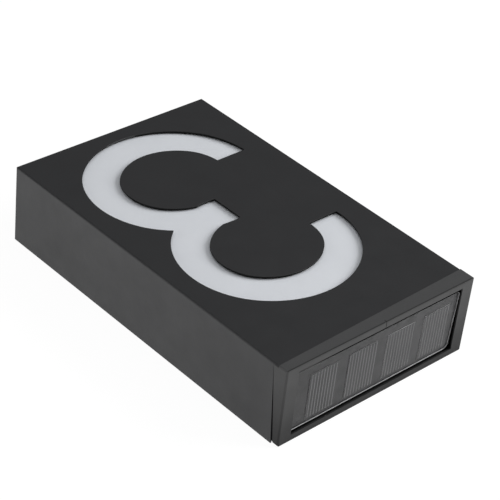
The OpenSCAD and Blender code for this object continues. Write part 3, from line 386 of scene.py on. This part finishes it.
# painted light: the cells' cut edges, which lie in shade, are painted pale
cell_edge_lit = silicon("cell_edge_lit", (0.38, 0.38, 0.39))
panel_laminate = laminate("panel_laminate", (0.022, 0.022, 0.023), (0.034, 0.034, 0.035), 0.4, pale=3.0)
green_board = laminate("green_board", (0.015, 0.10, 0.04), (0.04, 0.19, 0.08), 0.35)
sleeve = moulded("battery_sleeve", (0.045, 0.27, 0.13), 0.22, grain=500.0, depth=0.03)
clear_resin = resin("clear_resin", (0.02, 0.02, 0.021), 0.03, 0.02)
# painted highlight: the rounded rim of the clear resin is painted pale
resin_rim_lit = resin("resin_rim_lit", (0.38, 0.38, 0.39), 0.92, 0.5)
# painted light: the resin's sides, which lie in shade, are painted pale
resin_side_lit = resin("resin_side_lit", (0.80, 0.80, 0.81), 0.92, 0.5)
# painted shade: a dark line along the panel's front edge
front_edge_shade = rim_line_shade("front_edge_shade")
finger_paste = print_paste("finger_paste", (0.19, 0.19, 0.195))

# the CAD nodes that stay; the others are replaced further down
LOOKS = {
    "cover_tabs": zinc, "frame_tabs": zinc, "switch_body": zinc,
    "tray_screws": screw_steel, "holder_screws": screw_steel, "board_screws": screw_steel,
    "switch_screws": screw_steel, "door_hinge_pins": screw_steel,
    "numeral_diffuser": opal_acrylic, "reflector_tray": white_plastic,
    "diffuser_gasket": gasket_shade_black, "panel_foam": dark_foam,
    "light_strips": strip_face, "leds": phosphor,
    "led_leads": jacket, "panel_leads": jacket, "battery_leads": jacket, "switch_leads": jacket,
    "panel_board": panel_laminate,
    "panel_holder": holder_shade_black, "board_components": black_plastic, "battery_box": black_plastic,
    "control_board": green_board, "battery_contacts": brass, "door_insert": brass,
    "wall_buffers": dark_rubber, "door_gasket": dark_rubber,
    "battery": sleeve,
}


def dress(node, material):
    mesh = NODES[node].data
    mesh.materials.clear()
    mesh.materials.append(material)


for node_name, look in LOOKS.items():
    dress(node_name, look)


# Pieces with soft edges

# edges that turn by more than this many degrees get a radius
SHARP_ANGLE = 32.0
# a face whose normal has less than this along an axis runs along that axis
STEEP = 0.5
# material slots of a replaced piece: 0 holds its faces, and the last holds painted shade along the resin's
# front edge
EDGE_SLOT, SIDE_SLOT, RIM_SHADE_SLOT = 1, 2, 3


def piece(name, mesh, body, *materials):
    obj = bpy.data.objects.new(name, mesh)
    bpy.context.scene.collection.objects.link(obj)
    for material in materials:
        mesh.materials.append(material)
    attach(obj, body)
    return obj


def joined_mesh(node, name):
    """The node's mesh with its vertices joined and its flat faces made whole."""
    bm = bmesh.new()
    bm.from_mesh(NODES[node].data)
    bmesh.ops.remove_doubles(bm, verts=bm.verts, dist=0.000002)
    bmesh.ops.dissolve_limit(
        bm, angle_limit=math.radians(0.6), verts=bm.verts, edges=bm.edges, use_dissolve_boundaries=False
    )
    for face in bm.faces:
        face.smooth = True
        face.material_index = 0
    mesh = bpy.data.meshes.new(name)
    bm.to_mesh(mesh)
    bm.free()
    return mesh


def softened(node, name, width_mm, body, face_look, edge_look, slot):
    """A copy of a CAD node with small radii on its sharp edges, which stands for that node."""
    obj = piece(name, joined_mesh(node, name), body, face_look, edge_look)
    bevel = obj.modifiers.new("edge_radius", "BEVEL")
    bevel.width = width_mm * MM
    bevel.segments = 2
    bevel.limit_method = "ANGLE"
    bevel.angle_limit = math.radians(SHARP_ANGLE)
    bevel.use_clamp_overlap = True
    bevel.material = EDGE_SLOT
    flat = obj.modifiers.new("flat_faces", "WEIGHTED_NORMAL")
    flat.mode = "FACE_AREA"
    flat.weight = 100
    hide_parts(node)
    return obj


def shade_cut_walls(cover):
    """Paints shade on the cut walls of the numeral, near black. They lie within the front plate, away from
    the cover's own sides.
    """
    cover.data.materials.append(cut_wall_shade)
    for face in cover.data.polygons:
        middle = face.center
        inside = abs(middle.x) < 55 * MM and abs(middle.y) < 90 * MM and middle.z > 42 * MM
        if inside and abs(face.normal.z) < STEEP:
            face.material_index = SIDE_SLOT


# node, name, radius in millimetres, body, looks of faces and edges, slot
SOFTENED = (
    ("front_cover", "front_cover_coated", 0.16, "sign", cover_coat, cover_edge_shaded, "cover_powder_coat"),
    ("solar_frame", "solar_frame_coated", 0.25, "sign", frame_coat, frame_edge_shaded, "frame_powder_coat"),
    ("back_plate", "back_plate_moulded", 0.20, "sign", grey_plastic, grey_edge_lit, "grey_plastic"),
    ("battery_door", "battery_door_moulded", 0.20, "door", grey_plastic, grey_edge_lit, "grey_plastic"),
    ("wall_bracket", "wall_bracket_pressed", 0.15, "bracket", zinc, zinc, "zinc_steel"),
    ("switch_knob", "switch_knob_moulded", 0.15, "knob", black_plastic, black_plastic, "black_plastic"),
    (
        "back_plate_screws", "back_plate_screws_turned", 0.08, "sign",
        screw_steel, screw_steel, "screw_steel",
    ),
    ("door_screw", "door_screw_turned", 0.08, "door", screw_steel, screw_steel, "screw_steel"),
)
for row in SOFTENED:
    softened(*row)
shade_cut_walls(bpy.data.objects["front_cover_coated"])


# Solar panel


def cast_resin():
    """The panel's resin with a rounded rim painted pale as a highlight, sides painted light, and painted
    shade along its front edge.
    """
    mesh = joined_mesh("solar_resin", "solar_resin_cast")
    low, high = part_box("solar_cells")
    near = 0.1 * MM
    bm = bmesh.new()
    bm.from_mesh(mesh)
    front = max(vert.co.y for vert in bm.verts)
    for face in bm.faces:
        face.smooth = False
        middle = face.calc_center_median()
        pocket = low.x - near < middle.x < high.x + near and low.z - near < middle.z < high.z + near
        if abs(face.normal.y) < STEEP and not pocket:
            face.material_index = SIDE_SLOT
    rim = [edge for edge in bm.edges if all(vert.co.y > front - 0.01 * MM for vert in edge.verts)]
    bmesh.ops.bevel(
        bm, geom=rim, offset=0.25 * MM, segments=3, profile=0.5, affect="EDGES",
        material=EDGE_SLOT, clamp_overlap=True,
    )
    top = max(vert.co.z for vert in bm.verts)
    # painted shade: the rim faces along the top edge take the dark front-edge look
    for face in bm.faces:
        if face.material_index and face.calc_center_median().z > top - 0.5 * MM:
            face.material_index = RIM_SHADE_SLOT
    for vert in bm.verts:
        # the board and the cells touch the resin in the CAD, and two faces in one plane show speckle
        vert.co.y += 0.05 * MM
    bm.to_mesh(mesh)
    bm.free()
    obj = piece("solar_resin_cast", mesh, "sign", clear_resin, resin_rim_lit, resin_side_lit, front_edge_shade)
    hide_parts("solar_resin")


def bar(bm, low, high):
    """A flat printed bar between two corners, with its outer face a little smaller."""
    (x0, y0, z0), (x1, y1, z1) = low, high
    rim = 0.25 * (y1 - y0)
    ring = []
    for y, inset in ((y0, 0.0), (y1, rim)):
        ring.append([
            bm.verts.new((x0 + inset, y, z0 + inset)), bm.verts.new((x1 - inset, y, z0 + inset)),
            bm.verts.new((x1 - inset, y, z1 - inset)), bm.verts.new((x0 + inset, y, z1 - inset)),
        ])
    under, over = ring
    bm.faces.new(under)
    bm.faces.new(list(reversed(over)))
    for i in range(4):
        j = (i + 1) % 4
        bm.faces.new((under[j], under[i], over[i], over[j]))


def cell_fingers():
    """Printed fingers on the four cells: nine on the outer two, ten on the inner two."""
    low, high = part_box("solar_cells")
    fingers, gap, step = (9, 10, 10, 9), 6.4 * MM, 1.93 * MM
    width = (high.x - low.x - (len(fingers) - 1) * gap) / len(fingers)
    skin, half = 0.03 * MM, 0.24 * MM
    bm = bmesh.new()
    for cell, count in enumerate(fingers):
        middle = low.x + cell * (width + gap) + width / 2
        for k in range(count):
            x = middle + (k - (count - 1) / 2) * step
            bar(bm, (x - half, high.y, low.z + 0.3 * MM), (x + half, high.y + skin, high.z - 0.3 * MM))
    mesh = bpy.data.meshes.new("cell_fingers")
    bm.normal_update()
    bm.to_mesh(mesh)
    bm.free()
    piece("cell_fingers", mesh, "sign", finger_paste)


def cut_cells():
    """The cells with their cut edges painted pale, as painted light."""
    mesh = joined_mesh("solar_cells", "solar_cells_cut")
    for face in mesh.polygons:
        face.use_smooth = False
        if abs(face.normal.y) < STEEP:
            face.material_index = EDGE_SLOT
    obj = piece("solar_cells_cut", mesh, "sign", cell_silicon, cell_edge_lit)
    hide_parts("solar_cells")


cast_resin()
cut_cells()
cell_fingers()


# Battery spring


def tube(bm, path, radius):
    """A closed round tube through the points of path."""
    sides = 10
    rings = []
    for i, point in enumerate(path):
        ahead = path[min(i + 1, len(path) - 1)]
        behind = path[max(i - 1, 0)]
        along = (ahead - behind).normalized()
        across = along.cross(Vector((1.0, 0.0, 0.0)))
        if across.length < 0.2:
            across = along.cross(Vector((0.0, 1.0, 0.0)))
        across.normalize()
        other = along.cross(across)
        ring = []
        for k in range(sides):
            turn = 2 * math.pi * k / sides
            ring.append(bm.verts.new(point + radius * (math.cos(turn) * across + math.sin(turn) * other)))
        rings.append(ring)
    for a, b in zip(rings, rings[1:]):
        for k in range(sides):
            j = (k + 1) % sides
            bm.faces.new((a[k], a[j], b[j], b[k]))
    bm.faces.new(list(reversed(rings[0])))
    bm.faces.new(rings[-1])


def coil_spring():
    """The conical battery spring, wound along X between its CAD ends."""
    low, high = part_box("battery_spring")
    axis_y, axis_z = (low.y + high.y) / 2, (low.z + high.z) / 2
    wire = 0.4 * MM
    big = (high.y - low.y) / 2 - wire
    turns, steps = 5.5, 22
    path = []
    for i in range(int(turns * steps) + 1):
        share = i / (turns * steps)
        angle = 2 * math.pi * i / steps
        radius = big * (1.0 - 0.45 * share)
        x = low.x + wire + share * (high.x - low.x - 2 * wire)
        path.append(Vector((x, axis_y + radius * math.cos(angle), axis_z + radius * math.sin(angle))))
    bm = bmesh.new()
    tube(bm, path, wire)
    for face in bm.faces:
        face.smooth = True
    mesh = bpy.data.meshes.new("battery_spring_wound")
    bm.to_mesh(mesh)
    bm.free()
    obj = piece("battery_spring_wound", mesh, "sign", spring_steel)
    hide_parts("battery_spring")


coil_spring()


# Stage, light, camera


def world_light():
    """A plain studio: bright low down all round, dimmer overhead."""
    world = bpy.data.worlds.new("studio")
    bpy.context.scene.world = world
    world.use_nodes = True
    tree = world.node_tree
    coords = tree.nodes.new("ShaderNodeTexCoord")
    split = tree.nodes.new("ShaderNodeSeparateXYZ")
    tree.links.new(coords.outputs["Generated"], split.inputs["Vector"])
    ramp = tree.nodes.new("ShaderNodeValToRGB")
    spread = tree.nodes.new("ShaderNodeMapRange")
    spread.inputs["From Min"].default_value = -1.0
    spread.inputs["From Max"].default_value = 1.0
    tree.links.new(split.outputs["Z"], spread.inputs["Value"])
    tree.links.new(spread.outputs["Result"], ramp.inputs["Fac"])
    ramp.color_ramp.elements[0].position = 0.0
    ramp.color_ramp.elements[0].color = (0.86, 0.86, 0.86, 1.0)
    ramp.color_ramp.elements[1].position = 1.0
    ramp.color_ramp.elements[1].color = (0.16, 0.162, 0.166, 1.0)
    for position, level in ((0.49, 0.9), (0.53, 0.34), (0.60, 0.15)):
        element = ramp.color_ramp.elements.new(position)
        element.color = (level, level, level, 1.0)
    tree.links.new(ramp.outputs["Color"], tree.nodes["Background"].inputs["Color"])


def floor():
    """A pale floor that shows to the camera and in gloss, with the sign's shadow on it."""
    mesh = bpy.data.meshes.new("floor")
    reach, height = 30.0, -0.0003
    mesh.from_pydata(
        [(-reach, -reach, height), (reach, -reach, height), (reach, reach, height), (-reach, reach, height)],
        [], [(0, 1, 2, 3)],
    )
    obj = bpy.data.objects.new("floor", mesh)
    bpy.context.scene.collection.objects.link(obj)
    mat = bpy.data.materials.new("floor")
    mat.use_nodes = True
    tree = mat.node_tree
    tree.nodes.clear()
    new, link = tree.nodes.new, tree.links.new
    out = new("ShaderNodeOutputMaterial")
    light_path, geometry = new("ShaderNodeLightPath"), new("ShaderNodeNewGeometry")
    diffuse, glow = new("ShaderNodeBsdfDiffuse"), new("ShaderNodeEmission")
    clear = new("ShaderNodeBsdfTransparent")
    diffuse.inputs["Color"].default_value = (0.12, 0.12, 0.12, 1.0)
    glow.inputs["Color"].default_value = (1.0, 1.0, 1.0, 1.0)
    glow.inputs["Strength"].default_value = 0.94
    surface = new("ShaderNodeAddShader")
    link(diffuse.outputs[0], surface.inputs[0])
    link(glow.outputs[0], surface.inputs[1])
    seen = light_path.outputs["Is Camera Ray"]
    for name in ("Is Glossy Ray", "Is Transmission Ray"):
        either = new("ShaderNodeMath")
        either.operation = "MAXIMUM"
        link(seen, either.inputs[0])
        link(light_path.outputs[name], either.inputs[1])
        seen = either.outputs[0]
    above = new("ShaderNodeMath")
    above.operation = "SUBTRACT"
    above.use_clamp = True
    link(seen, above.inputs[0])
    link(geometry.outputs["Backfacing"], above.inputs[1])
    shown = new("ShaderNodeMixShader")
    link(above.outputs[0], shown.inputs[0])
    link(clear.outputs[0], shown.inputs[1])
    link(surface.outputs[0], shown.inputs[2])
    link(shown.outputs[0], out.inputs["Surface"])
    mesh.materials.append(mat)


SIGN_MIDDLE = Vector((0.0, 0.0, 0.02))


def lamp(name, place, share, size):
    """A soft square lamp aimed at the sign. share is how much of a plain level it adds."""
    light = bpy.data.lights.new(name, "AREA")
    light.size = size
    obj = bpy.data.objects.new(name, light)
    bpy.context.scene.collection.objects.link(obj)
    obj.location = place
    aim = SIGN_MIDDLE - obj.location
    light.energy = share * math.pi ** 2 * aim.length_squared
    obj.rotation_mode = "QUATERNION"
    obj.rotation_quaternion = aim.to_track_quat("-Z", "Y")
    obj.visible_camera = False


def camera():
    """The photo's camera, fitted to the straight edges of the box."""
    data = bpy.data.cameras.new("photo_camera")
    data.sensor_width = 36.0
    data.lens = 130.004
    data.clip_start, data.clip_end = 0.01, 100.0
    obj = bpy.data.objects.new("photo_camera", data)
    bpy.context.scene.collection.objects.link(obj)
    obj.location = (0.52287, 0.51303, 0.53873)
    obj.rotation_euler = Euler((0.958217, -0.096024, 2.405085), "XYZ")
    bpy.context.scene.camera = obj


world_light()
floor()
lamp("overhead", (0.30, 0.25, 1.40), 0.31, 1.6)
lamp("far_side", (-1.05, 0.75, 0.85), 0.75, 1.0)
lamp("near_side", (1.20, -0.35, 0.30), 0.16, 0.8)
camera()
bpy.context.scene.view_settings.view_transform = "Standard"
